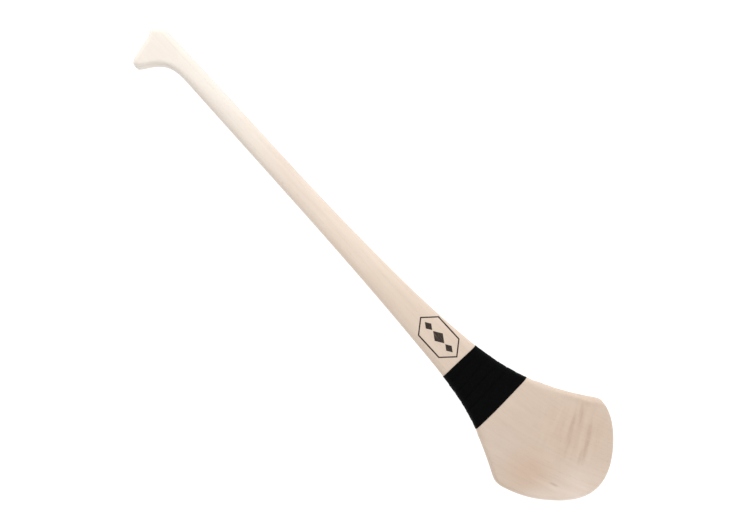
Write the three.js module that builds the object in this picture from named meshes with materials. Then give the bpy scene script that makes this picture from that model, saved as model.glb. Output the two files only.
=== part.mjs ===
// Hurling stick (hurley) of a child's size. One plank of ash is shaped into a hooked butt, an oval handle, a
// flaring neck and a broad flat bas, the blade that meets the ball. Cloth tape is wound round the neck.
//
// Millimetres, +Z up. The stick lies on its back: +X runs from the butt to the sole, +Y towards the toe.
// The plan is drawn with x measured from the butt's end and y from the handle's centre line, and the finished
// stick is then moved so that its origin is at the bottom centre of its box.

import * as THREE from 'three';
import { mergeVertices } from 'three/addons/utils/BufferGeometryUtils.js';

// ---- Driving dimensions ----

const LENGTH = 630;

// Distances across, from the handle's centre line.
const HANDLE_HALF_WIDTH = 10.5;
const HOOK_REACH = 36.8;
const TOE_REACH = 79.2;
const HEEL_REACH = 51.9;

// The sole's furthest point lies this far towards the toe from the centre line.
const SOLE_PEAK = 17;

// Thickness profile of the plank, by distance from the butt: how thick it is, how far its back stands above the
// flat that the stick lies on, how wide the rounding of its edges is, and how much of its thickness is a slow crown.
const PROFILE = [
  { x: 0, thickness: 19, lift: 0, rounding: 6, crown: 0 },
  { x: 45, thickness: 18.6, lift: 0, rounding: 6.5, crown: 0 },
  { x: 95, thickness: 17.8, lift: 0.9, rounding: 9.5, crown: 0 },
  { x: 330, thickness: 17.6, lift: 1.3, rounding: 11.5, crown: 0.02 },
  { x: 475, thickness: 16.8, lift: 1.7, rounding: 10, crown: 0.05 },
  { x: 510, thickness: 16.4, lift: 1.5, rounding: 6.5, crown: 0.06 },
  { x: 552, thickness: 15.4, lift: 0, rounding: 4.4, crown: 0.05 },
  { x: LENGTH, thickness: 13, lift: 0, rounding: 4.2, crown: 0.05 },
];
const CROWN_REACH = 34;
const EDGE_SQUARENESS = 2.3;

// The tape: where it starts on the neck, how long the taped stretch is on the centre line, how far its lower edge
// leans for each millimetre across, the cloth's thickness, and how many half-lapped turns show.
const TAPE_START = 444.7;
const TAPE_LENGTH = 58.8;
const TAPE_LEAN = -0.062;
const TAPE_THICKNESS = 0.3;
const TAPE_TURNS = 5;
const TAPE_GAP = 0.3;

// Fineness of the faceted surfaces.
const RIBS = 72;
const COLUMNS = 24;
const TAPE_SIDES = 40;
const TAPE_INNER_RINGS = 6;

// ---- Small helpers ----

const at = (x, y) => new THREE.Vector2(x, y);

const heading = (degrees, length) => {
  const angle = THREE.MathUtils.degToRad(degrees);
  return at(length * Math.cos(angle), length * Math.sin(angle));
};

// One stretch of outline: it leaves one point at one bearing and reaches the next at another, in degrees from +X.
function stretch(from, leaving, to, arriving, fullness = 0.35) {
  const reach = from.distanceTo(to) * fullness;
  const firstHandle = from.clone().add(heading(leaving, reach));
  const lastHandle = to.clone().sub(heading(arriving, reach));
  return new THREE.CubicBezierCurve(from, firstHandle, lastHandle, to);
}

function path(...stretches) {
  const joined = new THREE.CurvePath();
  stretches.forEach((curve) => joined.add(curve));
  joined.arcLengthDivisions = 400;
  return joined;
}

// Evenly counted steps from 0 to 1 that crowd towards both ends, where the rounded edges are.
const crowded = (step, steps) => (1 - Math.cos((Math.PI * step) / steps)) / 2;

// ---- Plan of the plank ----

const buttShoulder = at(13, HANDLE_HALF_WIDTH);
const buttNose = at(0.1, -2);
const buttFace = at(4.2, -12);
const hookFace = at(8, -28);
const hookTip = at(16.5, -HOOK_REACH);
const hookBack = at(22, -34.2);
const sweepEnd = at(68, -HANDLE_HALF_WIDTH + 0.9);
const handleOnToeSide = at(300, 12.8);
const neckOnToeSide = at(446, 24.4);
const flareOnToeSide = at(504, 41.2);
const handleOnHeelSide = at(400, -17.1);
const neckOnHeelSide = at(446, -19.8);
const flareOnHeelSide = at(505, -31.2);
const toeShoulder = at(562.5, 76.6);
const toeCorner = at(569, TOE_REACH);
const toeOfSole = at(602, 64.7);
const heelShoulder = at(549.5, -49.5);
const heelCorner = at(558, -HEEL_REACH);
const heelTurn = at(567, -50);
const heelOfSole = at(602, -29.7);
const solePeak = at(LENGTH, SOLE_PEAK);

// The four sides of the outline. Ends run from the toe side to the heel side, and sides from the butt to the sole.
// Each end starts and finishes where the outline is widest, so that it never doubles back across the stick.
const buttEnd = path(
  stretch(buttShoulder, 180, buttNose, -70),
  stretch(buttNose, -70, buttFace, -81),
  stretch(buttFace, -81, hookFace, -76),
  stretch(hookFace, -76, hookTip, 0, 0.42),
);
const toeSide = path(
  stretch(buttShoulder, 1, handleOnToeSide, 2),
  stretch(handleOnToeSide, 2, neckOnToeSide, 8.5),
  stretch(neckOnToeSide, 8.5, flareOnToeSide, 24.5),
  stretch(flareOnToeSide, 24.5, toeShoulder, 37.5),
  stretch(toeShoulder, 37.5, toeCorner, 0),
);
const heelSide = path(
  stretch(hookTip, 0, hookBack, 62),
  stretch(hookBack, 62, sweepEnd, -1, 0.5),
  stretch(sweepEnd, -1, handleOnHeelSide, -2.9),
  stretch(handleOnHeelSide, -2.9, neckOnHeelSide, -5),
  stretch(neckOnHeelSide, -5, flareOnHeelSide, -20.5),
  stretch(flareOnHeelSide, -20.5, heelShoulder, -25),
  stretch(heelShoulder, -25, heelCorner, 0),
);
const soleEnd = path(
  stretch(toeCorner, 0, toeOfSole, -40),
  stretch(toeOfSole, -40, solePeak, -90, 0.33),
  stretch(solePeak, -90, heelOfSole, 180 + 41),
  stretch(heelOfSole, 180 + 41, heelTurn, 180 + 20),
  stretch(heelTurn, 180 + 20, heelCorner, 180),
);

const OUTLINE_STEPS = 260;
const outline = [
  ...toeSide.getSpacedPoints(OUTLINE_STEPS),
  ...soleEnd.getSpacedPoints(OUTLINE_STEPS),
  ...heelSide.getSpacedPoints(OUTLINE_STEPS).reverse(),
  ...buttEnd.getSpacedPoints(OUTLINE_STEPS).reverse(),
];

function distanceToSegment(point, start, end) {
  const run = end.clone().sub(start);
  const lengthSquared = run.lengthSq();
  if (lengthSquared === 0) return point.distanceTo(start);
  const along = THREE.MathUtils.clamp(point.clone().sub(start).dot(run) / lengthSquared, 0, 1);
  return point.distanceTo(run.multiplyScalar(along).add(start));
}

function distanceToOutline(point) {
  let nearest = Infinity;
  outline.forEach((start, index) => {
    const end = outline[(index + 1) % outline.length];
    nearest = Math.min(nearest, distanceToSegment(point, start, end));
  });
  return nearest;
}

// The first point of a path that is past a limit, for a path that passes it once.
function firstPast(route, isPast) {
  let low = 0;
  let high = 1;
  for (let step = 0; step < 40; step += 1) {
    const middle = (low + high) / 2;
    if (isPast(route.getPoint(middle))) high = middle;
    else low = middle;
  }
  return route.getPoint(high);
}

// Where a side of the outline meets the slanted line x = cut + lean * y.
const crossing = (side, cut, lean = 0) => firstPast(side, (point) => point.x - lean * point.y >= cut);

// ---- Thickness of the plank ----

function profileAt(x) {
  const last = PROFILE.length - 1;
  const next = THREE.MathUtils.clamp(PROFILE.findIndex((station) => station.x >= x), 1, last);
  const before = PROFILE[next - 1];
  const after = PROFILE[next];
  const share = THREE.MathUtils.smoothstep(x, before.x, after.x);
  const mix = (name) => THREE.MathUtils.lerp(before[name], after[name], share);
  return { thickness: mix('thickness'), lift: mix('lift'), rounding: mix('rounding'), crown: mix('crown') };
}

// Share of the full thickness at an inset from the outline: a rounded edge, then a slow crown.
function fullnessAt(inset, rounding, crown) {
  const rest = 1 - Math.min(inset / rounding, 1);
  const edge = (1 - rest ** EDGE_SQUARENESS) ** (1 / EDGE_SQUARENESS);
  return edge * (1 - crown) + crown * THREE.MathUtils.smoothstep(inset, 0, CROWN_REACH);
}

// Height of the wood's surface over a point of the plan: face is 1 for the front and -1 for the back.
function surfaceHeight(point, face, inset) {
  const { thickness, lift, rounding, crown } = profileAt(point.x);
  return lift + (thickness / 2) * (1 + face * fullnessAt(inset, rounding, crown));
}

// ---- Ash plank ----

// How far from each end its curve still bends the ribs.
const BUTT_BEND = 60;
const SOLE_BEND = 130;

// How far an end of the outline bulges in x past the straight line between its corners, at a share of that line.
function bulge(end, across) {
  const chord = end.getPoint(0).lerp(end.getPoint(1), across);
  return firstPast(end, (point) => point.y <= chord.y).x - chord.x;
}

// A point of the plan on rib number rib, at column number column from the toe side to the heel side.
function planPoint(rib, column) {
  const along = crowded(rib, RIBS);
  const across = crowded(column, COLUMNS);
  const toePoint = crossing(toeSide, THREE.MathUtils.lerp(buttShoulder.x, toeCorner.x, along));
  const heelPoint = crossing(heelSide, THREE.MathUtils.lerp(hookTip.x, heelCorner.x, along));
  const point = toePoint.lerp(heelPoint, across);
  const sideLength = heelCorner.x - hookTip.x;
  const buttWeight = Math.max(0, 1 - (along * sideLength) / BUTT_BEND);
  const soleWeight = Math.max(0, 1 - ((1 - along) * sideLength) / SOLE_BEND);
  point.x += buttWeight * bulge(buttEnd, across) + soleWeight * bulge(soleEnd, across);
  return point;
}

function isOnOutline(rib, column) {
  return rib === 0 || rib === RIBS || column === 0 || column === COLUMNS;
}

// Front and back share the grid of plan points and meet along the outline.
function plankGeometry() {
  const positions = [];
  const indices = [];
  for (const face of [1, -1]) {
    for (let rib = 0; rib <= RIBS; rib += 1) {
      for (let column = 0; column <= COLUMNS; column += 1) {
        const point = planPoint(rib, column);
        const inset = isOnOutline(rib, column) ? 0 : distanceToOutline(point);
        positions.push(point.x, point.y, surfaceHeight(point, face, inset));
      }
    }
  }
  const perFace = (RIBS + 1) * (COLUMNS + 1);
  const vertex = (rib, column, face) => rib * (COLUMNS + 1) + column + (face === 1 ? 0 : perFace);
  for (const face of [1, -1]) {
    for (let rib = 0; rib < RIBS; rib += 1) {
      for (let column = 0; column < COLUMNS; column += 1) {
        const a = vertex(rib, column, face);
        const b = vertex(rib, column + 1, face);
        const c = vertex(rib + 1, column + 1, face);
        const d = vertex(rib + 1, column, face);
        // The diagonals point away from the middle, so that no corner facet lies flat in the outline.
        const sameQuarter = rib < RIBS / 2 === column < COLUMNS / 2;
        const facets = sameQuarter ? [[a, b, c], [a, c, d]] : [[a, b, d], [b, c, d]];
        facets.forEach((facet) => indices.push(...(face === 1 ? facet : facet.reverse())));
      }
    }
  }
  return solid(positions, indices);
}

function solid(positions, indices) {
  const geometry = new THREE.BufferGeometry();
  geometry.setAttribute('position', new THREE.Float32BufferAttribute(positions, 3));
  geometry.setIndex(indices);
  const merged = mergeVertices(geometry, 1e-3);
  merged.computeVertexNormals();
  return merged;
}

// ---- Neck tape ----

// One loop round the neck, standing off the wood. The share runs from 0 at the tape's upper edge to 1 at its lower.
function tapeRing(share, standOff) {
  const cut = TAPE_START + share * TAPE_LENGTH;
  const lean = share * TAPE_LEAN;
  const toePoint = crossing(toeSide, cut, lean);
  const heelPoint = crossing(heelSide, cut, lean);
  const loop = [];
  for (let side = 0; side < TAPE_SIDES; side += 1) {
    const turn = (2 * Math.PI * side) / TAPE_SIDES;
    const plan = toePoint.clone().lerp(heelPoint, (1 - Math.cos(turn)) / 2);
    const onEdge = side % (TAPE_SIDES / 2) === 0;
    const face = side < TAPE_SIDES / 2 ? 1 : -1;
    const height = surfaceHeight(plan, face, onEdge ? 0 : distanceToOutline(plan));
    loop.push(new THREE.Vector3(plan.x, plan.y, height));
  }
  return loop.map((point, side) => {
    const next = loop[(side + 1) % TAPE_SIDES];
    const previous = loop[(side + TAPE_SIDES - 1) % TAPE_SIDES];
    const outward = new THREE.Vector3(0, next.z - previous.z, previous.y - next.y).normalize();
    return point.clone().addScaledVector(outward, standOff);
  });
}

// Each turn laps half of the one before, so its outside slopes up by one thickness and then steps down.
function tapeGeometry() {
  const inner = TAPE_GAP;
  const rings = [tapeRing(0, inner)];
  for (let turn = 0; turn < TAPE_TURNS; turn += 1) {
    rings.push(tapeRing(turn / TAPE_TURNS, inner + TAPE_THICKNESS));
    rings.push(tapeRing((turn + 0.96) / TAPE_TURNS, inner + 2 * TAPE_THICKNESS));
  }
  rings.push(tapeRing(1, inner + 2 * TAPE_THICKNESS));
  for (let ring = TAPE_INNER_RINGS; ring > 0; ring -= 1) {
    rings.push(tapeRing(ring / TAPE_INNER_RINGS, inner));
  }
  const positions = rings.flat().flatMap((point) => point.toArray());
  const indices = [];
  rings.forEach((ring, index) => {
    const here = index * TAPE_SIDES;
    const there = ((index + 1) % rings.length) * TAPE_SIDES;
    for (let side = 0; side < TAPE_SIDES; side += 1) {
      const next = (side + 1) % TAPE_SIDES;
      indices.push(here + side, there + next, there + side);
      indices.push(here + side, here + next, there + next);
    }
  });
  return solid(positions, indices);
}

// ---- Assembly ----

const ash = new THREE.MeshStandardMaterial({ color: '#ead8c6', roughness: 0.62, metalness: 0 });
const clothTape = new THREE.MeshStandardMaterial({ color: '#0d0e0f', roughness: 0.85, metalness: 0 });

const ashBody = new THREE.Mesh(plankGeometry(), ash);
ashBody.name = 'ash_body';

const neckTape = new THREE.Mesh(tapeGeometry(), clothTape);
neckTape.name = 'neck_tape';

const group = new THREE.Group();
group.add(ashBody, neckTape);

const box = new THREE.Box3().setFromObject(group);
const middle = box.getCenter(new THREE.Vector3());
group.position.set(-middle.x, -middle.y, -box.min.z);

export default group;
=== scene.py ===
"""Looks for the hurling stick: the sanded ash plank, the cloth tape round its neck and the printed mark.

Everything is in metres in the frame's own axes: +X from the butt to the sole, +Y towards the toe, +Z up.
"""

import math

import bmesh
import bpy
import numpy as np
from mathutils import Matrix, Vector, noise
from mathutils.bvhtree import BVHTree


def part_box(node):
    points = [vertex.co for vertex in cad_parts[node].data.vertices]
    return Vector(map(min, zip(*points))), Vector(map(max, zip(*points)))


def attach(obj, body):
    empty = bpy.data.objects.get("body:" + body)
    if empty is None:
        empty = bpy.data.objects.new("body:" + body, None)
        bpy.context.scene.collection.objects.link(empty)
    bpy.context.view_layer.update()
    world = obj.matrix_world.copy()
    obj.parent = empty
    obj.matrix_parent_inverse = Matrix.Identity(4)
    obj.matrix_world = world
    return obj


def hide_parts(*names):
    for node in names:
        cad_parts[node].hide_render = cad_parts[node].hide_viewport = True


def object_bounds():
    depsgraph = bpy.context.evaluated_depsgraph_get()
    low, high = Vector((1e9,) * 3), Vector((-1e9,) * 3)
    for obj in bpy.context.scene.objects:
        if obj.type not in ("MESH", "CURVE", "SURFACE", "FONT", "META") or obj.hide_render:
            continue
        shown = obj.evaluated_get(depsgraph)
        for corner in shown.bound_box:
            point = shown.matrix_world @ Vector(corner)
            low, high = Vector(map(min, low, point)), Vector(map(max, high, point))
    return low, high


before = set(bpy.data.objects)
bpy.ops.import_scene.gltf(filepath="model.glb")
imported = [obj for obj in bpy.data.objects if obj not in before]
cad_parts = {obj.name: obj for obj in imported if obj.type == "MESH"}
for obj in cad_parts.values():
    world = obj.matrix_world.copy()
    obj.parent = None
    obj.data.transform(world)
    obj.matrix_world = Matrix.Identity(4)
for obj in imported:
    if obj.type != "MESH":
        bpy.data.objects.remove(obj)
cad_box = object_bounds()

MM = 0.001
LOW, HIGH = (Vector(corner) for corner in cad_box)
LENGTH = HIGH.x - LOW.x
TAPE_LOW, TAPE_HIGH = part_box("neck_tape")
BODY = "root"

# Where the handle's centre line runs, and how far along the stick a share of its length lies.
HANDLE_LINE_Y = LOW.y + 51.9 * MM


def along(share):
    """The x of a share of the stick's length, counted from the butt."""
    return LOW.x + share * LENGTH


# --------------------------------------------------------------------------------------------------
# Camera: straight above, with the stick across the picture from its upper left to its lower right
# --------------------------------------------------------------------------------------------------

CAMERA_HEIGHT = 1.45
CAMERA_TURN = math.radians(47.4)

# What the picture takes in: its width at the height of the plank's middle, and its centre in plan.
PICTURE_WIDTH = 739.5 * MM
PICTURE_PLANE = 9 * MM
PICTURE_CENTRE = Vector((5.0 * MM, -8.9 * MM))

SENSOR_WIDTH_IN_MM = 36


def add_camera():
    data = bpy.data.cameras.new("camera")
    data.sensor_width = SENSOR_WIDTH_IN_MM
    data.lens = data.sensor_width * (CAMERA_HEIGHT - PICTURE_PLANE) / PICTURE_WIDTH
    camera = bpy.data.objects.new("camera", data)
    camera.location = (PICTURE_CENTRE.x, PICTURE_CENTRE.y, CAMERA_HEIGHT)
    camera.rotation_euler = (0, 0, CAMERA_TURN)
    bpy.context.scene.collection.objects.link(camera)
    bpy.context.scene.camera = camera


# --------------------------------------------------------------------------------------------------
# Small helpers for meshes
# --------------------------------------------------------------------------------------------------


def add_object(name, vertices, faces, material):
    mesh = bpy.data.meshes.new(name)
    mesh.from_pydata([tuple(v) for v in vertices], [], [tuple(f) for f in faces])
    mesh.update()
    mesh.shade_smooth()
    mesh.materials.append(material)
    obj = bpy.data.objects.new(name, mesh)
    bpy.context.scene.collection.objects.link(obj)
    return obj


def face_outwards(mesh):
    """Turns the faces of a closed mesh so that they all face out."""
    bm = bmesh.new()
    bm.from_mesh(mesh)
    bmesh.ops.recalc_face_normals(bm, faces=bm.faces)
    bm.to_mesh(mesh)
    bm.free()


def grid_faces(rows, columns, start=0, flip=False):
    """Quads of a grid of rows by columns of vertices, numbered row by row from start."""
    faces = []
    for row in range(rows - 1):
        for column in range(columns - 1):
            a = start + row * columns + column
            quad = (a, a + 1, a + columns + 1, a + columns)
            faces.append(quad[::-1] if flip else quad)
    return faces


def slab_faces(rows, columns):
    """Faces of a closed slab whose top grid comes first and whose bottom grid follows it."""
    count = rows * columns
    faces = grid_faces(rows, columns) + grid_faces(rows, columns, start=count, flip=True)
    border = list(range(columns))
    border += [row * columns + columns - 1 for row in range(1, rows)]
    border += [(rows - 1) * columns + column for column in range(columns - 2, -1, -1)]
    border += [row * columns for row in range(rows - 2, 0, -1)]
    for here, there in zip(border, border[1:] + border[:1]):
        faces.append((here, here + count, there + count, there))
    return faces


# --------------------------------------------------------------------------------------------------
# The ash plank
# --------------------------------------------------------------------------------------------------

PLANK_LEVELS = 2
FITTING_ROUNDS = 8
SAME_POINT = 1e-6


def quads_from_triangles(bm):
    """Joins the frame's triangles in pairs across the edge that is the longest of both."""
    longest = {face: max(face.edges, key=lambda edge: edge.calc_length()) for face in bm.faces}
    diagonals = [
        edge
        for edge in bm.edges
        if len(edge.link_faces) == 2 and all(longest[face] is edge for face in edge.link_faces)
    ]
    bmesh.ops.dissolve_edges(bm, edges=diagonals, use_verts=False)


def coordinates(vertices):
    flat = np.empty(len(vertices) * 3)
    vertices.foreach_get("co", flat)
    return flat.reshape(-1, 3)


def subdivided_mesh(obj):
    graph = bpy.context.evaluated_depsgraph_get()
    return bpy.data.meshes.new_from_object(obj.evaluated_get(graph))


def pull_cage_outwards(obj):
    """Moves the cage until its smooth surface passes through the points that the frame gives."""
    wanted = coordinates(obj.data.vertices)
    cage = wanted.copy()
    for _ in range(FITTING_ROUNDS):
        trial = subdivided_mesh(obj)
        cage += wanted - coordinates(trial.vertices)[: len(wanted)]
        bpy.data.meshes.remove(trial)
        obj.data.vertices.foreach_set("co", cage.ravel())
        obj.data.update()


def make_ash_body(material):
    bm = bmesh.new()
    bm.from_mesh(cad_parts["ash_body"].data)
    bmesh.ops.remove_doubles(bm, verts=bm.verts, dist=SAME_POINT)
    quads_from_triangles(bm)
    mesh = bpy.data.meshes.new("ash_plank")
    bm.to_mesh(mesh)
    bm.free()
    plank = bpy.data.objects.new("ash_plank", mesh)
    bpy.context.scene.collection.objects.link(plank)
    smooth = plank.modifiers.new("smooth", "SUBSURF")
    smooth.levels = 1
    pull_cage_outwards(plank)
    smooth.levels = PLANK_LEVELS
    fine = subdivided_mesh(plank)
    fine.vertices.foreach_set("co", np.clip(coordinates(fine.vertices), LOW, HIGH).ravel())
    plank.modifiers.clear()
    plank.data = fine
    fine.name = "ash_plank"
    fine.materials.clear()
    fine.materials.append(material)
    fine.shade_smooth()
    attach(plank, BODY)
    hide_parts("ash_body")
    return plank


# --------------------------------------------------------------------------------------------------
# The neck's surface, as a sheet of section loops that the tape is laid on
# --------------------------------------------------------------------------------------------------

LOOP_POINTS = 160


def section_loop(points, edges, x):
    """The plank's section at x as evenly spaced points round it, from the toe edge over the front."""
    start, end = points[edges[:, 0]], points[edges[:, 1]]
    cut = (start[:, 0] - x) * (end[:, 0] - x) < 0
    start, end = start[cut], end[cut]
    share = (x - start[:, 0]) / (end[:, 0] - start[:, 0])
    hits = start + (end - start) * share[:, None]
    middle = (hits.min(0) + hits.max(0)) / 2
    angle = np.arctan2(hits[:, 2] - middle[2], hits[:, 1] - middle[1]) % (2 * math.pi)
    hits = hits[np.argsort(angle)]
    closed = np.vstack([hits, hits[:1]])
    run = np.concatenate([[0], np.cumsum(np.linalg.norm(np.diff(closed, axis=0), axis=1))])
    wanted = np.linspace(0, run[-1], LOOP_POINTS, endpoint=False)
    return np.column_stack([np.interp(wanted, run, closed[:, axis]) for axis in range(3)])


class NeckSurface:
    """Points and outward directions of the neck by distance along the stick and share of the way round."""

    def __init__(self, plank, first_x, last_x, step):
        mesh = plank.data
        points = np.array([v.co for v in mesh.vertices])
        edges = np.array([e.vertices for e in mesh.edges])
        self.xs = np.arange(first_x, last_x, step)
        self.loops = np.array([section_loop(points, edges, x) for x in self.xs])
        around = np.roll(self.loops, -1, axis=1) - np.roll(self.loops, 1, axis=1)
        lengthwise = np.gradient(self.loops, axis=0)
        outward = np.cross(around, lengthwise)
        self.outward = outward / np.linalg.norm(outward, axis=2)[:, :, None]

    def _mixed(self, table, x, turn):
        row = np.clip((x - self.xs[0]) / (self.xs[1] - self.xs[0]), 0, len(self.xs) - 1.001)
        column = (turn % 1) * LOOP_POINTS
        r, c = int(row), int(column) % LOOP_POINTS
        across = (c + 1) % LOOP_POINTS
        share_r, share_c = row - r, column - int(column)
        near = table[r, c] * (1 - share_c) + table[r, across] * share_c
        far = table[r + 1, c] * (1 - share_c) + table[r + 1, across] * share_c
        return near * (1 - share_r) + far * share_r

    def point(self, x, turn, height):
        """The point at a height over the wood, turn turns round from the toe edge."""
        outward = self._mixed(self.outward, x, turn)
        return self._mixed(self.loops, x, turn) + outward / np.linalg.norm(outward) * height


# --------------------------------------------------------------------------------------------------
# The cloth tape: one strip, laid turn by turn over the wood and over itself
# --------------------------------------------------------------------------------------------------

TAPE_WIDTH = 19 * MM
TAPE_THICKNESS = 0.26 * MM
TAPE_ADHESIVE = 0.03 * MM
TAPE_COLUMNS = 22

# The winding in turns: all of it, the part before it leans, and what it takes to lean and to straighten.
TAPE_TURNS = 4.62
TAPE_SQUARE_TURNS = 0.2
TAPE_EASE = 0.5
TAPE_EASE_OUT = 0.28

# The height map of what lies on the neck: its step, and how far the strip bridges a step under it.
TAPE_GRID = 0.25 * MM
TAPE_DRAPE = 0.9 * MM
GROUND_BEFORE_TAPE = 2 * MM
GROUND_PAST_TAPE = 4 * MM

# The neck's sections: their spacing, and how far they reach past the taped stretch.
SECTION_STEP = 1.5 * MM
SECTIONS_BEFORE_TAPE = 6 * MM
SECTIONS_PAST_TAPE = 8 * MM

# The slack of the strip's edge: its height, how far it reaches into the strip, and the length of a wave.
PUCKER_HEIGHT = 0.34 * MM
PUCKER_REACH = 2.6 * MM
PUCKER_LENGTH = 7 * MM
PUCKER_LAYER = 3.1
PUCKER_BIAS = 0.15

# The strip reaches the lower end of the taped stretch where its last half turn meets the heel side.
LAST_FRONT_TURN = 4.5
TAPE_PITCH = (TAPE_HIGH.x - TAPE_LOW.x - TAPE_WIDTH) / (
    LAST_FRONT_TURN - TAPE_SQUARE_TURNS - TAPE_EASE / 2 - TAPE_EASE_OUT / 2
)


def tape_advance(turn):
    """How far down the neck the strip has moved after so many turns: it starts square and ends square."""
    leaning = max(0, turn - TAPE_SQUARE_TURNS)
    start = min(leaning / TAPE_EASE, 1)
    end = min(max(0, 1 - (LAST_FRONT_TURN - turn) / TAPE_EASE_OUT), 1)
    past_end = max(0, turn - LAST_FRONT_TURN)
    lost = TAPE_EASE * (start - start ** 2 / 2) + TAPE_EASE_OUT * end ** 2 / 2 + past_end
    return TAPE_PITCH * (leaning - lost)


def tape_columns():
    """Places across the strip, from its butt-side edge to its sole-side edge, closer together at both."""
    even = np.arange(TAPE_COLUMNS + 1) / TAPE_COLUMNS
    crowded = (1 - np.cos(math.pi * even)) / 2
    return TAPE_WIDTH * ((even + crowded) / 2 - 0.5)


def pucker(distance, across):
    """Slack along the butt-side edge, where a strip wound on a flaring neck is too long for its place."""
    fade = math.exp(-(across + TAPE_WIDTH / 2) / PUCKER_REACH)
    wave = noise.noise(Vector((distance / PUCKER_LENGTH, across / PUCKER_LENGTH, PUCKER_LAYER)))
    return PUCKER_HEIGHT * fade * max(0, wave + PUCKER_BIAS)


def drape(heights):
    """The height at which a strip lies over uneven ground: it bridges the steps that it can't follow."""
    reach = int(TAPE_DRAPE / TAPE_GRID)
    padded = np.pad(heights, reach, mode="edge")
    kernel = np.hanning(2 * reach + 3)[1:-1]
    return np.maximum(heights, np.convolve(padded, kernel / kernel.sum(), mode="valid"))


def make_neck_tape(plank, material):
    first_section = TAPE_LOW.x - SECTIONS_BEFORE_TAPE
    surface = NeckSurface(plank, first_section, TAPE_HIGH.x + SECTIONS_PAST_TAPE, SECTION_STEP)
    ground_x = np.arange(TAPE_LOW.x - GROUND_BEFORE_TAPE, TAPE_HIGH.x + GROUND_PAST_TAPE, TAPE_GRID)
    ground = np.full((LOOP_POINTS, len(ground_x)), TAPE_ADHESIVE)
    first_centre = TAPE_LOW.x + TAPE_WIDTH / 2
    across = tape_columns()
    rows = int(TAPE_TURNS * LOOP_POINTS) + 1
    top, bottom, weave = [], [], []
    distance = 0.0
    previous = None
    for row in range(rows):
        turn = row / LOOP_POINTS
        centre = first_centre + tape_advance(turn)
        middle = surface.point(centre, turn, 0)
        if previous is not None:
            distance += float(np.linalg.norm(middle - previous))
        previous = middle
        loop = row % LOOP_POINTS
        covered = np.abs(ground_x - centre) <= TAPE_WIDTH / 2
        lying = drape(ground[loop, covered])
        lying += [pucker(distance, x - centre) for x in ground_x[covered]]
        ground[loop, covered] = lying + TAPE_THICKNESS
        for offset in across:
            x = centre + offset
            base = float(np.interp(x, ground_x[covered], lying))
            bottom.append(surface.point(x, turn, base))
            top.append(surface.point(x, turn, base + TAPE_THICKNESS))
            weave.append((distance, offset, 0.0))
    columns = len(across)
    tape = add_object("neck_tape_winding", top + bottom, slab_faces(rows, columns), material)
    face_outwards(tape.data)
    attribute = tape.data.attributes.new("weave", "FLOAT_VECTOR", "POINT")
    attribute.data.foreach_set("vector", np.array(weave + weave, np.float32).ravel())
    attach(tape, BODY)
    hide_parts("neck_tape")
    return tape


# --------------------------------------------------------------------------------------------------
# The printed mark: a plain long hexagon with three lozenges in it
# --------------------------------------------------------------------------------------------------

MARK_CENTRE = Vector((along(0.657), HANDLE_LINE_Y + 3.2 * MM))
MARK_HALF_LENGTH = 27 * MM
MARK_HALF_WIDTH = 14 * MM
MARK_POINT = 12 * MM
MARK_BORDER = 1.4 * MM
INK_THICKNESS = 0.05 * MM
INK_CELL = 0.9 * MM

# Each lozenge's place along the mark and its size as a share of the middle one's.
LOZENGES = ((-14.8 * MM, 0.66), (0, 1.0), (14.8 * MM, 0.66))
LOZENGE_HALF_LENGTH = 8.2 * MM
LOZENGE_HALF_WIDTH = 5.4 * MM

# For an even border, how far the tips and the shoulders move for each millimetre that the sides move in.
TIP_MOVE = 1.25
SHOULDER_MOVE = 0.35

# The mark's points are dropped onto the wood from this height.
DROP_HEIGHT = 100 * MM
EDGE_TOLERANCE = 1e-7


def hexagon(inset):
    """Corners of the mark's border, with its sides moved in by inset."""
    half_length = MARK_HALF_LENGTH - inset * TIP_MOVE
    half_width = MARK_HALF_WIDTH - inset
    shoulder = MARK_HALF_LENGTH - MARK_POINT - inset * SHOULDER_MOVE
    return [
        Vector((half_length, 0)),
        Vector((shoulder, half_width)),
        Vector((-shoulder, half_width)),
        Vector((-half_length, 0)),
        Vector((-shoulder, -half_width)),
        Vector((shoulder, -half_width)),
    ]


def border_rows():
    """The border as rows of points, each from its outer line to its inner one, all the way round."""
    outer, inner = hexagon(0), hexagon(MARK_BORDER)
    rows = []
    for index in range(6):
        after = (index + 1) % 6
        steps = math.ceil((outer[after] - outer[index]).length / INK_CELL)
        for step in range(steps):
            start = outer[index].lerp(outer[after], step / steps)
            end = inner[index].lerp(inner[after], step / steps)
            rows.append([start, start.lerp(end, 0.5), end])
    return rows


def lozenge_rows(centre, size):
    """A lozenge as rows of points that run parallel to one of its sides."""
    length, width = LOZENGE_HALF_LENGTH * size, LOZENGE_HALF_WIDTH * size
    sole_tip, butt_tip = Vector((centre + length, 0)), Vector((centre - length, 0))
    toe_tip, heel_tip = Vector((centre, width)), Vector((centre, -width))
    steps = math.ceil((toe_tip - sole_tip).length / INK_CELL)
    rows = []
    for row in range(steps + 1):
        start, end = sole_tip.lerp(toe_tip, row / steps), heel_tip.lerp(butt_tip, row / steps)
        rows.append([start.lerp(end, column / steps) for column in range(steps + 1)])
    return rows


def ring_faces(rows, columns):
    """Faces of a closed ring whose top grid comes first and whose bottom grid follows it."""
    count = rows * columns
    section = list(range(columns)) + [count + column for column in range(columns - 1, -1, -1)]
    faces = []
    for row in range(rows):
        here, there = row * columns, (row + 1) % rows * columns
        for first, second in zip(section, section[1:] + section[:1]):
            faces.append((here + first, here + second, there + second, there + first))
    return faces


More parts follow.
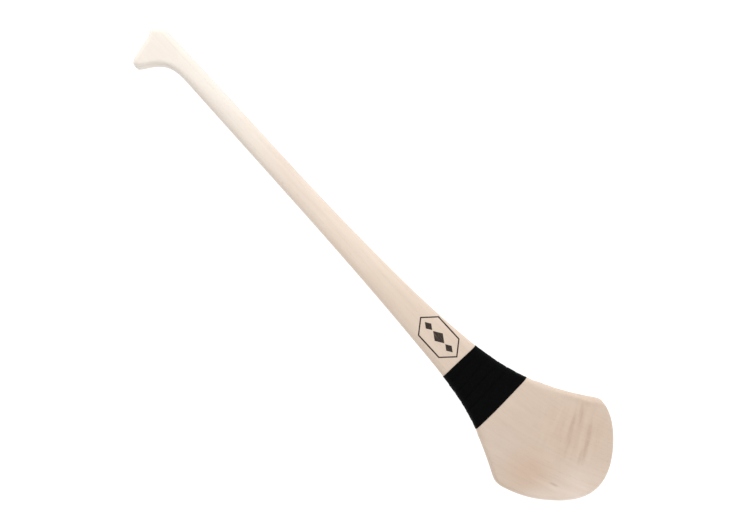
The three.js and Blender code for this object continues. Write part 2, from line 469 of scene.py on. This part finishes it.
def make_mark(plank, material):
    points = [v.co for v in plank.data.vertices]
    polygons = [p.vertices for p in plank.data.polygons]
    wood = BVHTree.FromPolygons(points, polygons, epsilon=EDGE_TOLERANCE)
    shapes = [(border_rows(), ring_faces)]
    shapes += [(lozenge_rows(centre, size), slab_faces) for centre, size in LOZENGES]
    vertices, faces = [], []
    for rows, faces_of in shapes:
        top, bottom = [], []
        for point in sum(rows, []):
            plan = MARK_CENTRE + point
            above = Vector((plan.x, plan.y, DROP_HEIGHT))
            place, outward, _, _ = wood.ray_cast(above, Vector((0, 0, -1)))
            top.append(place + outward * INK_THICKNESS)
            bottom.append(place - outward * INK_THICKNESS)
        start = len(vertices)
        vertices += top + bottom
        faces += [[start + index for index in face] for face in faces_of(len(rows), len(rows[0]))]
    mark = add_object("printed_mark", vertices, faces, material)
    face_outwards(mark.data)
    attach(mark, BODY)
    return mark


# --------------------------------------------------------------------------------------------------
# Materials: what they share
# --------------------------------------------------------------------------------------------------


class Nodes:
    """A material's node tree, with short calls for the nodes that the materials here are made of."""

    def __init__(self, name):
        self.material = bpy.data.materials.new(name)
        self.material.use_nodes = True
        self.tree = self.material.node_tree
        self.shader = self.tree.nodes["Principled BSDF"]

    def add(self, kind, **settings):
        node = self.tree.nodes.new(kind)
        for setting, value in settings.items():
            setattr(node, setting, value)
        return node

    def feed(self, socket, value):
        if isinstance(value, bpy.types.NodeSocket):
            self.tree.links.new(value, socket)
        else:
            socket.default_value = value

    def math(self, operation, first, second=0.0, third=0.0):
        node = self.add("ShaderNodeMath", operation=operation)
        for socket, value in zip(node.inputs, (first, second, third)):
            self.feed(socket, value)
        return node.outputs[0]

    def plus(self, first, second):
        return self.math("ADD", first, second)

    def minus(self, first, second):
        return self.math("SUBTRACT", first, second)

    def times(self, first, second):
        return self.math("MULTIPLY", first, second)

    def clipped(self, value):
        node = self.add("ShaderNodeClamp")
        self.feed(node.inputs[0], value)
        return node.outputs[0]

    def remap(self, value, low, high, to_low=0.0, to_high=1.0):
        node = self.add("ShaderNodeMapRange", interpolation_type="SMOOTHSTEP")
        for socket, number in zip(node.inputs, (value, low, high, to_low, to_high)):
            self.feed(socket, number)
        return node.outputs[0]

    def vector(self, x, y, z):
        node = self.add("ShaderNodeCombineXYZ")
        for socket, value in zip(node.inputs, (x, y, z)):
            self.feed(socket, value)
        return node.outputs[0]

    def noise(self, vector, detail=2.0):
        node = self.add("ShaderNodeTexNoise")
        self.feed(node.inputs["Vector"], vector)
        self.feed(node.inputs["Scale"], 1.0)
        self.feed(node.inputs["Detail"], detail)
        self.feed(node.inputs["Roughness"], 0.5)
        return node.outputs["Fac"]

    def wood_noise(self, kind, x, across, z):
        """A noise that has one rate of change along the stick and another across it and through it."""
        rate_along, rate_across, detail = kind
        scaled = [self.times(x, rate_along), self.times(across, rate_across), self.times(z, rate_across)]
        return self.noise(self.vector(*scaled), detail)

    def mix(self, share, first, second):
        node = self.add("ShaderNodeMix", data_type="RGBA")
        self.feed(node.inputs[0], share)
        self.feed(node.inputs[6], first)
        self.feed(node.inputs[7], second)
        return node.outputs[2]

    def position(self):
        """x, y and z in the frame, in metres."""
        place = self.add("ShaderNodeTexCoord").outputs["Object"]
        split = self.add("ShaderNodeSeparateXYZ")
        self.feed(split.inputs[0], place)
        return split.outputs

    def bump(self, height, distance):
        node = self.add("ShaderNodeBump")
        self.feed(node.inputs["Strength"], 1.0)
        self.feed(node.inputs["Distance"], distance)
        self.feed(node.inputs["Height"], height)
        self.feed(self.shader.inputs["Normal"], node.outputs[0])

    def set(self, **values):
        for name, value in values.items():
            self.feed(self.shader.inputs[name.replace("_", " ")], value)


def rgb(red, green, blue):
    return (red, green, blue, 1.0)


# --------------------------------------------------------------------------------------------------
# The wood
# --------------------------------------------------------------------------------------------------

# The grain runs straight down the handle and turns towards the toe in the bas. It wanders by up to half
# of GRAIN_WANDER to either side.
GRAIN_BEND_START = along(0.70)
GRAIN_END_SLOPE = 0.46
GRAIN_BEND = GRAIN_END_SLOPE / (2 * (HIGH.x - GRAIN_BEND_START))
GRAIN_WANDER = 7 * MM

# Growth rings: the pith that they lie round, outside the plank, their spacing and its unevenness in rings.
PITH_Y = HANDLE_LINE_Y - 105 * MM
PITH_Z = -85 * MM
RING_WIDTH = 3.4 * MM
RING_UNEVENNESS = 1.6
RING_CHANGES_PER_METRE = 90.0

# The shares of a ring's width in which its early wood begins and in which it ends.
EARLY_WOOD_START = (0.0, 0.10)
EARLY_WOOD_END = (0.14, 0.50)

# The knot, long in the grain's direction. The grain parts round it.
KNOT = (along(0.9485), HANDLE_LINE_Y - 11.5 * MM)
KNOT_RADIUS = 2.0 * MM
KNOT_STRETCH = 3.6
KNOT_SLOPE = 2 * GRAIN_BEND * (KNOT[0] - GRAIN_BEND_START)
PARTING_RADIUS = KNOT_RADIUS * 4
PARTING_STRETCH = KNOT_STRETCH / 1.6
PARTING_STRENGTH = 0.7

# The rippled part of the bas. The ripples lie nearly square across the grain.
FIGURE = (along(0.905), HANDLE_LINE_Y + 38 * MM)
FIGURE_REACH = 50 * MM
RIPPLE_LEAN = GRAIN_END_SLOPE * 1.15

# Noises in the wood: changes per metre along the stick, the same across it, and levels of finer detail.
WANDER = (7.0, 9.0, 2.0)
MOTTLE = (20.0, 34.0, 3.0)
GAPS_IN_RINGS = (16.0, 420.0, 2.0)
BROAD_STREAKS = (13.0, 150.0, 3.0)
FIBRES = (28.0, 1300.0, 3.0)
PORES = (330.0, 3600.0, 1.0)
RIPPLES = (135.0, 24.0, 1.5)
GAPS_IN_STREAKS = (150.0, 110.0, 2.0)

# Contrasts: the values of a noise between which something rises, and what it rises from and to.
RING_GAP_CONTRAST = (0.38, 0.66, 0.1, 1.0)
STREAK_GAP_CONTRAST = (0.3, 0.65, 0.45, 1.25)
PATCH_CONTRAST = (0.3, 0.7, 0.6, 1.2)
PORE_CONTRAST = (0.56, 0.66)
PORES_IN_EARLY_WOOD = (0.0, 0.6, 0.10, 1.0)

# How much the wood is darkened: everywhere, and by each kind of mark in it.
BASE_SHADE = 0.09
RING_SHADE = 0.018
FIBRE_SHADE = 0.13
BROAD_STREAK_SHADE = 0.24
FIGURE_SHADE = 0.7
PORE_SHADE = 0.15
KNOT_SHADE = 0.28

# Single streaks: centre, half length, half width, slope in plan, and strength, which is below 0 if pale.
STREAK_CORE = 0.33
STREAKS = (
    ((along(0.908), HANDLE_LINE_Y + 33 * MM), 31 * MM, 3.0 * MM, -1.5, 0.19),
    ((along(0.933), HANDLE_LINE_Y + 42 * MM), 31 * MM, 3.2 * MM, -1.4, 0.23),
    ((along(0.893), HANDLE_LINE_Y + 57 * MM), 15 * MM, 2.8 * MM, -1.2, 0.16),
    ((along(0.944), HANDLE_LINE_Y + 26 * MM), 12 * MM, 2.4 * MM, -1.5, 0.12),
    ((along(0.921), HANDLE_LINE_Y + 42 * MM), 26 * MM, 3.0 * MM, -1.5, -0.09),
    ((along(0.946), HANDLE_LINE_Y + 40 * MM), 22 * MM, 3.0 * MM, -1.5, -0.09),
    ((along(0.935), HANDLE_LINE_Y - 18 * MM), 18 * MM, 2.2 * MM, 0.40, -0.12),
    ((along(0.929), HANDLE_LINE_Y - 14 * MM), 13 * MM, 1.5 * MM, 0.40, 0.12),
)

# The wood's colours, and the stretches in which one passes into the next.
# The fall from the near-white butt to the darker bas is partly the wood's own tone and partly painted
# light, brightest at the butt.
BUTT_ASH_AND_PAINTED_LIGHT = rgb(0.855, 0.795, 0.725)
NECK_ASH = rgb(0.805, 0.675, 0.562)
BAS_ASH = rgb(0.68, 0.546, 0.44)
BLUSH_ASH = rgb(0.65, 0.475, 0.358)
GREY_ASH = rgb(0.69, 0.57, 0.485)
# Painted light: a pale colour that stands in for the light that falls on the rim of the sole.
PAINTED_RIM_LIGHT_ASH = rgb(0.82, 0.70, 0.61)
GRAIN_BROWN = rgb(0.40, 0.25, 0.165)
PORE_BROWN = rgb(0.27, 0.165, 0.105)
KNOT_BROWN = rgb(0.22, 0.11, 0.055)
BUTT_TO_NECK = (along(0.05), along(0.50))
NECK_TO_BAS = (along(0.45), along(0.90))
UNEVEN_WARMTH = 0.5

# Patches of the bas with a colour of their own, and two pale patches at the sole's rim that are painted
# light: centre, reach, slope, stretch, colour and strength.
COLOUR_AND_PAINTED_LIGHT_PATCHES = (
    ((along(0.845), HANDLE_LINE_Y - 25 * MM), 38 * MM, 0.0, 1.0, GREY_ASH, 0.8),
    ((along(0.905), HANDLE_LINE_Y + 39 * MM), 50 * MM, 0.0, 1.0, BLUSH_ASH, 0.4),
    ((along(0.911), HANDLE_LINE_Y - 17 * MM), 28 * MM, 0.5, 1.5, BLUSH_ASH, 0.85),
    # These last two patches are painted light on the sole's rim, not a colour of the wood.
    ((along(0.990), HANDLE_LINE_Y - 4 * MM), 54 * MM, 0.0, 1.0, PAINTED_RIM_LIGHT_ASH, 0.95),
    ((along(0.962), HANDLE_LINE_Y - 31 * MM), 23 * MM, 1.1, 2.5, PAINTED_RIM_LIGHT_ASH, 0.9),
)

# The wood's surface. Its relief rises with the fibres and sinks at the pores and in the early wood.
WOOD_SPECULAR = 0.42
WOOD_ROUGHNESS = 0.50
EARLY_WOOD_ROUGHNESS = 0.08
FIBRE_ROUGHNESS = 0.10
WOOD_RELIEF = 0.04 * MM
FIBRE_RISE = 0.5
PORE_DEPTH = 0.9
EARLY_WOOD_DEPTH = 0.25


def spot(nodes, x, y, centre, reach, slope=0.0, stretch=1.0, core=0.0):
    """1 in the core of a place in plan, falling to 0 at reach, which is stretched along the slope."""
    dx = nodes.minus(x, centre[0])
    dy = nodes.minus(y, centre[1])
    size = math.hypot(1, slope) * stretch
    lengthwise = nodes.plus(nodes.times(dx, 1 / size), nodes.times(dy, slope / size))
    crosswise = nodes.times(nodes.minus(dy, nodes.times(dx, slope)), stretch / size)
    squares = nodes.plus(nodes.times(lengthwise, lengthwise), nodes.times(crosswise, crosswise))
    return nodes.remap(nodes.math("SQRT", squares), reach * core, reach, 1.0, 0.0)


def across_grain(nodes, x, y, z):
    """Distance across the grain: its lines of equal value follow the fibres, and part round the knot."""
    bend = nodes.math("MAXIMUM", nodes.minus(x, GRAIN_BEND_START), 0.0)
    across = nodes.minus(y, nodes.times(nodes.times(bend, bend), GRAIN_BEND))
    wander = nodes.minus(nodes.wood_noise(WANDER, x, y, z), 0.5)
    across = nodes.plus(across, nodes.times(wander, GRAIN_WANDER))
    knot_line = KNOT[1] - GRAIN_BEND * (KNOT[0] - GRAIN_BEND_START) ** 2
    parting = spot(nodes, x, y, KNOT, PARTING_RADIUS, KNOT_SLOPE, PARTING_STRETCH)
    off_knot = nodes.minus(across, knot_line)
    return nodes.minus(across, nodes.times(off_knot, nodes.times(parting, PARTING_STRENGTH)))


def early_wood(nodes, x, across, z):
    """1 in the porous early wood of each growth ring, less where it is interrupted, 0 in the late wood."""
    from_pith_y = nodes.minus(across, PITH_Y)
    from_pith_z = nodes.minus(z, PITH_Z)
    squares = nodes.plus(nodes.times(from_pith_y, from_pith_y), nodes.times(from_pith_z, from_pith_z))
    radius = nodes.math("SQRT", squares)
    uneven = nodes.noise(nodes.vector(nodes.times(radius, RING_CHANGES_PER_METRE), 0.3, 0.7), detail=1.0)
    ring = nodes.plus(nodes.math("DIVIDE", radius, RING_WIDTH), nodes.times(uneven, RING_UNEVENNESS))
    year = nodes.math("FRACT", ring)
    begun = nodes.remap(year, *EARLY_WOOD_START)
    not_ended = nodes.remap(year, *EARLY_WOOD_END, 1.0, 0.0)
    gaps = nodes.wood_noise(GAPS_IN_RINGS, x, across, z)
    return nodes.times(nodes.times(begun, not_ended), nodes.remap(gaps, *RING_GAP_CONTRAST))


def ground_colour(nodes, x, y, z):
    """The wood's colour without its grain: nearly white at the butt and warmer towards the bas, partly the
    wood's own tone and partly painted light that falls off from the butt; the pale patches at the sole's
    rim are painted light.
    """
    mottle = nodes.wood_noise(MOTTLE, x, y, z)
    warmth = nodes.times(nodes.minus(mottle, 0.5), UNEVEN_WARMTH)
    to_neck = nodes.clipped(nodes.plus(nodes.remap(x, *BUTT_TO_NECK), warmth))
    to_bas = nodes.clipped(nodes.plus(nodes.remap(x, *NECK_TO_BAS), warmth))
    colour = nodes.mix(to_bas, nodes.mix(to_neck, BUTT_ASH_AND_PAINTED_LIGHT, NECK_ASH), BAS_ASH)
    uneven_patch = nodes.remap(mottle, *PATCH_CONTRAST)
    for centre, reach, slope, stretch, patch_colour_and_light, strength in COLOUR_AND_PAINTED_LIGHT_PATCHES:
        patch = nodes.times(spot(nodes, x, y, centre, reach, slope, stretch), strength)
        colour = nodes.mix(nodes.clipped(nodes.times(patch, uneven_patch)), colour, patch_colour_and_light)
    return colour


def ripple_figure(nodes, x, y, across, z):
    """Ripples in the grain, which show as streaks across it in the toe half of the bas."""
    lengthwise = nodes.plus(x, nodes.times(y, RIPPLE_LEAN))
    ripple = nodes.wood_noise(RIPPLES, lengthwise, across, z)
    return nodes.times(nodes.minus(ripple, 0.5), spot(nodes, x, y, FIGURE, FIGURE_REACH))


def single_streaks(nodes, x, y, z, shade):
    """Adds the single streaks to the shade. They break up along their length."""
    patchy = nodes.remap(nodes.wood_noise(GAPS_IN_STREAKS, x, y, z), *STREAK_GAP_CONTRAST)
    for centre, half_length, half_width, slope, strength in STREAKS:
        line = spot(nodes, x, y, centre, half_width, slope, half_length / half_width, STREAK_CORE)
        shade = nodes.plus(shade, nodes.times(nodes.times(line, patchy), strength))
    return shade


def ash_material():
    nodes = Nodes("ash")
    x, y, z = nodes.position()
    across = across_grain(nodes, x, y, z)
    early = early_wood(nodes, x, across, z)
    fibre = nodes.wood_noise(FIBRES, x, across, z)
    streak = nodes.wood_noise(BROAD_STREAKS, x, across, z)
    pore_field = nodes.wood_noise(PORES, x, across, z)
    share_of_pores = nodes.remap(early, *PORES_IN_EARLY_WOOD)
    pores = nodes.times(nodes.remap(pore_field, *PORE_CONTRAST), share_of_pores)
    figure = ripple_figure(nodes, x, y, across, z)

    rings_and_fibres = nodes.plus(
        nodes.times(early, RING_SHADE), nodes.times(nodes.minus(fibre, 0.5), FIBRE_SHADE)
    )
    streaks_and_figure = nodes.plus(
        nodes.times(nodes.minus(streak, 0.5), BROAD_STREAK_SHADE), nodes.times(figure, FIGURE_SHADE)
    )
    shade = nodes.plus(rings_and_fibres, streaks_and_figure)
    shade = single_streaks(nodes, x, y, z, shade)
    knot = spot(nodes, x, y, KNOT, KNOT_RADIUS, KNOT_SLOPE, KNOT_STRETCH)

    colour = ground_colour(nodes, x, y, z)
    colour = nodes.mix(nodes.clipped(nodes.plus(shade, BASE_SHADE)), colour, GRAIN_BROWN)
    colour = nodes.mix(nodes.times(pores, PORE_SHADE), colour, PORE_BROWN)
    colour = nodes.mix(nodes.times(knot, KNOT_SHADE), colour, KNOT_BROWN)
    nodes.set(Base_Color=colour)

    rough = nodes.plus(nodes.times(early, EARLY_WOOD_ROUGHNESS), nodes.times(fibre, FIBRE_ROUGHNESS))
    nodes.set(Roughness=nodes.plus(rough, WOOD_ROUGHNESS))
    nodes.set(Specular_IOR_Level=WOOD_SPECULAR)
    hollows = nodes.plus(nodes.times(pores, PORE_DEPTH), nodes.times(early, EARLY_WOOD_DEPTH))
    nodes.bump(nodes.minus(nodes.times(fibre, FIBRE_RISE), hollows), WOOD_RELIEF)
    return nodes.material


# --------------------------------------------------------------------------------------------------
# The cloth
# --------------------------------------------------------------------------------------------------

THREADS_PER_METRE = 2300
THREAD_WOBBLE = 2.2
THREAD_RELIEF = 0.09 * MM
TAPE_DARK = rgb(0.0006, 0.0007, 0.0009)
TAPE_LIGHT = rgb(0.003, 0.0032, 0.0037)

# Noises in the cloth: changes per metre along the strip, the same across it, layer and levels of detail.
SLUBS = (500.0, 900.0, 0.0, 2.0)
CLOTH_PATCHES = (60.0, 160.0, 0.4, 3.0)
FUZZ = (4200.0, 4200.0, 0.1, 2.0)

# How much the threads, the patches and the fuzz lighten the cloth.
THREAD_LIGHT = 0.22
PATCH_LIGHT = 0.5
FUZZ_LIGHT = 0.4

CLOTH_ROUGHNESS = 0.5
PATCH_ROUGHNESS = 0.2
CLOTH_SPECULAR = 0.04
CLOTH_SHEEN = 0.012
CLOTH_SHEEN_ROUGHNESS = 0.4
FUZZ_RISE = 0.5
CROSSING_RISE = 0.5


def cloth_noise(nodes, kind, run, across):
    rate_along, rate_across, layer, detail = kind
    place = nodes.vector(nodes.times(run, rate_along), nodes.times(across, rate_across), layer)
    return nodes.noise(place, detail)


def tape_material():
    """A plain weave, laid out by the distance along the strip and across it."""
    nodes = Nodes("cloth_tape")
    attribute = nodes.add("ShaderNodeAttribute", attribute_name="weave")
    split = nodes.add("ShaderNodeSeparateXYZ")
    nodes.feed(split.inputs[0], attribute.outputs["Vector"])
    run, across = split.outputs[0], split.outputs[1]

    # One wave covers two threads, one that passes over and one that passes under.
    turn = 2 * math.pi * THREADS_PER_METRE / 2
    wobble = nodes.times(cloth_noise(nodes, SLUBS, run, across), THREAD_WOBBLE)
    warp = nodes.math("SINE", nodes.plus(nodes.times(across, turn), wobble))
    weft = nodes.math("SINE", nodes.plus(nodes.times(run, turn), wobble))
    ridges = nodes.plus(nodes.math("ABSOLUTE", warp), nodes.math("ABSOLUTE", weft))
    thread = nodes.plus(ridges, nodes.times(nodes.times(warp, weft), CROSSING_RISE))

    patches = cloth_noise(nodes, CLOTH_PATCHES, run, across)
    fuzz = cloth_noise(nodes, FUZZ, run, across)
    patch_light = nodes.times(nodes.minus(patches, 0.4), PATCH_LIGHT)
    fuzz_light = nodes.times(nodes.minus(fuzz, 0.5), FUZZ_LIGHT)
    light = nodes.plus(nodes.times(thread, THREAD_LIGHT), patch_light)
    light = nodes.clipped(nodes.plus(light, fuzz_light))
    nodes.set(Base_Color=nodes.mix(light, TAPE_DARK, TAPE_LIGHT))
    nodes.set(Roughness=nodes.plus(nodes.times(patches, PATCH_ROUGHNESS), CLOTH_ROUGHNESS))
    nodes.set(Specular_IOR_Level=CLOTH_SPECULAR)
    nodes.set(Sheen_Weight=CLOTH_SHEEN, Sheen_Roughness=CLOTH_SHEEN_ROUGHNESS)
    nodes.bump(nodes.plus(thread, nodes.times(fuzz, FUZZ_RISE)), THREAD_RELIEF)
    return nodes.material


# --------------------------------------------------------------------------------------------------
# The ink
# --------------------------------------------------------------------------------------------------

INK_FIBRES = (60.0, 1500.0, 3.0)
INK_SPECKS = (900.0, 2600.0, 2.0)
INK_WEAR = 0.35
WORN_FIBRE_VALUES = (0.52, 0.74)
WORN_SPECK_VALUES = (0.6, 0.7)
INK_ROUGHNESS = 0.5
SPECK_ROUGHNESS = 0.2
INK_SPECULAR = 0.25
INK_RELIEF = 0.03 * MM
INK_BROWN = rgb(0.028, 0.019, 0.014)
WORN_BROWN = rgb(0.30, 0.22, 0.16)


def ink_material():
    """Dark ink that the wood's fibres show through where it is worn."""
    nodes = Nodes("ink")
    x, y, z = nodes.position()
    fibre = nodes.wood_noise(INK_FIBRES, x, y, z)
    speck = nodes.wood_noise(INK_SPECKS, x, y, z)
    worn_fibres = nodes.remap(fibre, *WORN_FIBRE_VALUES, 0.0, INK_WEAR)
    worn_specks = nodes.remap(speck, *WORN_SPECK_VALUES, 0.0, INK_WEAR)
    worn = nodes.clipped(nodes.plus(worn_fibres, worn_specks))
    nodes.set(Base_Color=nodes.mix(worn, INK_BROWN, WORN_BROWN))
    nodes.set(Roughness=nodes.plus(nodes.times(speck, SPECK_ROUGHNESS), INK_ROUGHNESS))
    nodes.set(Specular_IOR_Level=INK_SPECULAR)
    nodes.bump(fibre, INK_RELIEF)
    return nodes.material


# --------------------------------------------------------------------------------------------------
# Studio
# --------------------------------------------------------------------------------------------------

WHITE = rgb(1, 1, 1)
FLOOR_HALF_SIZE = 6.0
FLOOR_DARK = rgb(0.15, 0.15, 0.15)
FLOOR_LIGHT = rgb(0.17, 0.17, 0.17)
FLOOR_CLOUDS_PER_METRE = 2.0
SURROUND_STRENGTH = 0.61

# Soft round lights: name, place, the point that it faces, diameter and power in watts.
LIGHTS = (
    ("key", (0.1, 1.0, 1.15), (0.05, 0.0, 0.0), 0.9, 6.8),
    ("butt_light", (-1.15, 0.25, 0.75), (-0.25, 0.0, 0.0), 0.8, 9),
    ("sole_light", (1.2, -0.35, 0.22), (0.3, 0.0, 0.0), 0.4, 3),
)


def floor_material():
    """A floor that glows white, so that the stick's shadow on it is washed out."""
    nodes = Nodes("studio_floor")
    x, y, _ = nodes.position()
    cloud_x = nodes.times(x, FLOOR_CLOUDS_PER_METRE)
    cloud_y = nodes.times(y, FLOOR_CLOUDS_PER_METRE)
    cloud = nodes.noise(nodes.vector(cloud_x, cloud_y, 0.0))
    nodes.set(Base_Color=nodes.mix(cloud, FLOOR_DARK, FLOOR_LIGHT))
    nodes.set(Roughness=0.9, Specular_IOR_Level=0.1)
    nodes.set(Emission_Color=WHITE, Emission_Strength=1.0)
    return nodes.material


def add_floor():
    half = FLOOR_HALF_SIZE
    corners = [(-half, -half, 0), (half, -half, 0), (half, half, 0), (-half, half, 0)]
    floor = add_object("floor", corners, [(0, 1, 2, 3)], floor_material())


def add_area_light(name, place, target, size, power):
    data = bpy.data.lights.new(name, "AREA")
    data.shape = "DISK"
    data.size = size
    data.energy = power
    light = bpy.data.objects.new(name, data)
    light.location = place
    light.rotation_euler = (Vector(target) - Vector(place)).to_track_quat("-Z", "Y").to_euler()
    bpy.context.scene.collection.objects.link(light)


def add_surround():
    """Even white light from all sides."""
    world = bpy.data.worlds.new("surround")
    world.use_nodes = True
    background = world.node_tree.nodes["Background"]
    background.inputs["Color"].default_value = WHITE
    background.inputs["Strength"].default_value = SURROUND_STRENGTH
    bpy.context.scene.world = world


# --------------------------------------------------------------------------------------------------
# The scene
# --------------------------------------------------------------------------------------------------

bpy.context.scene.view_settings.view_transform = "Standard"
add_camera()
ash_plank = make_ash_body(ash_material())
make_neck_tape(ash_plank, tape_material())
make_mark(ash_plank, ink_material())
add_floor()
for light_settings in LIGHTS:
    add_area_light(*light_settings)
add_surround()
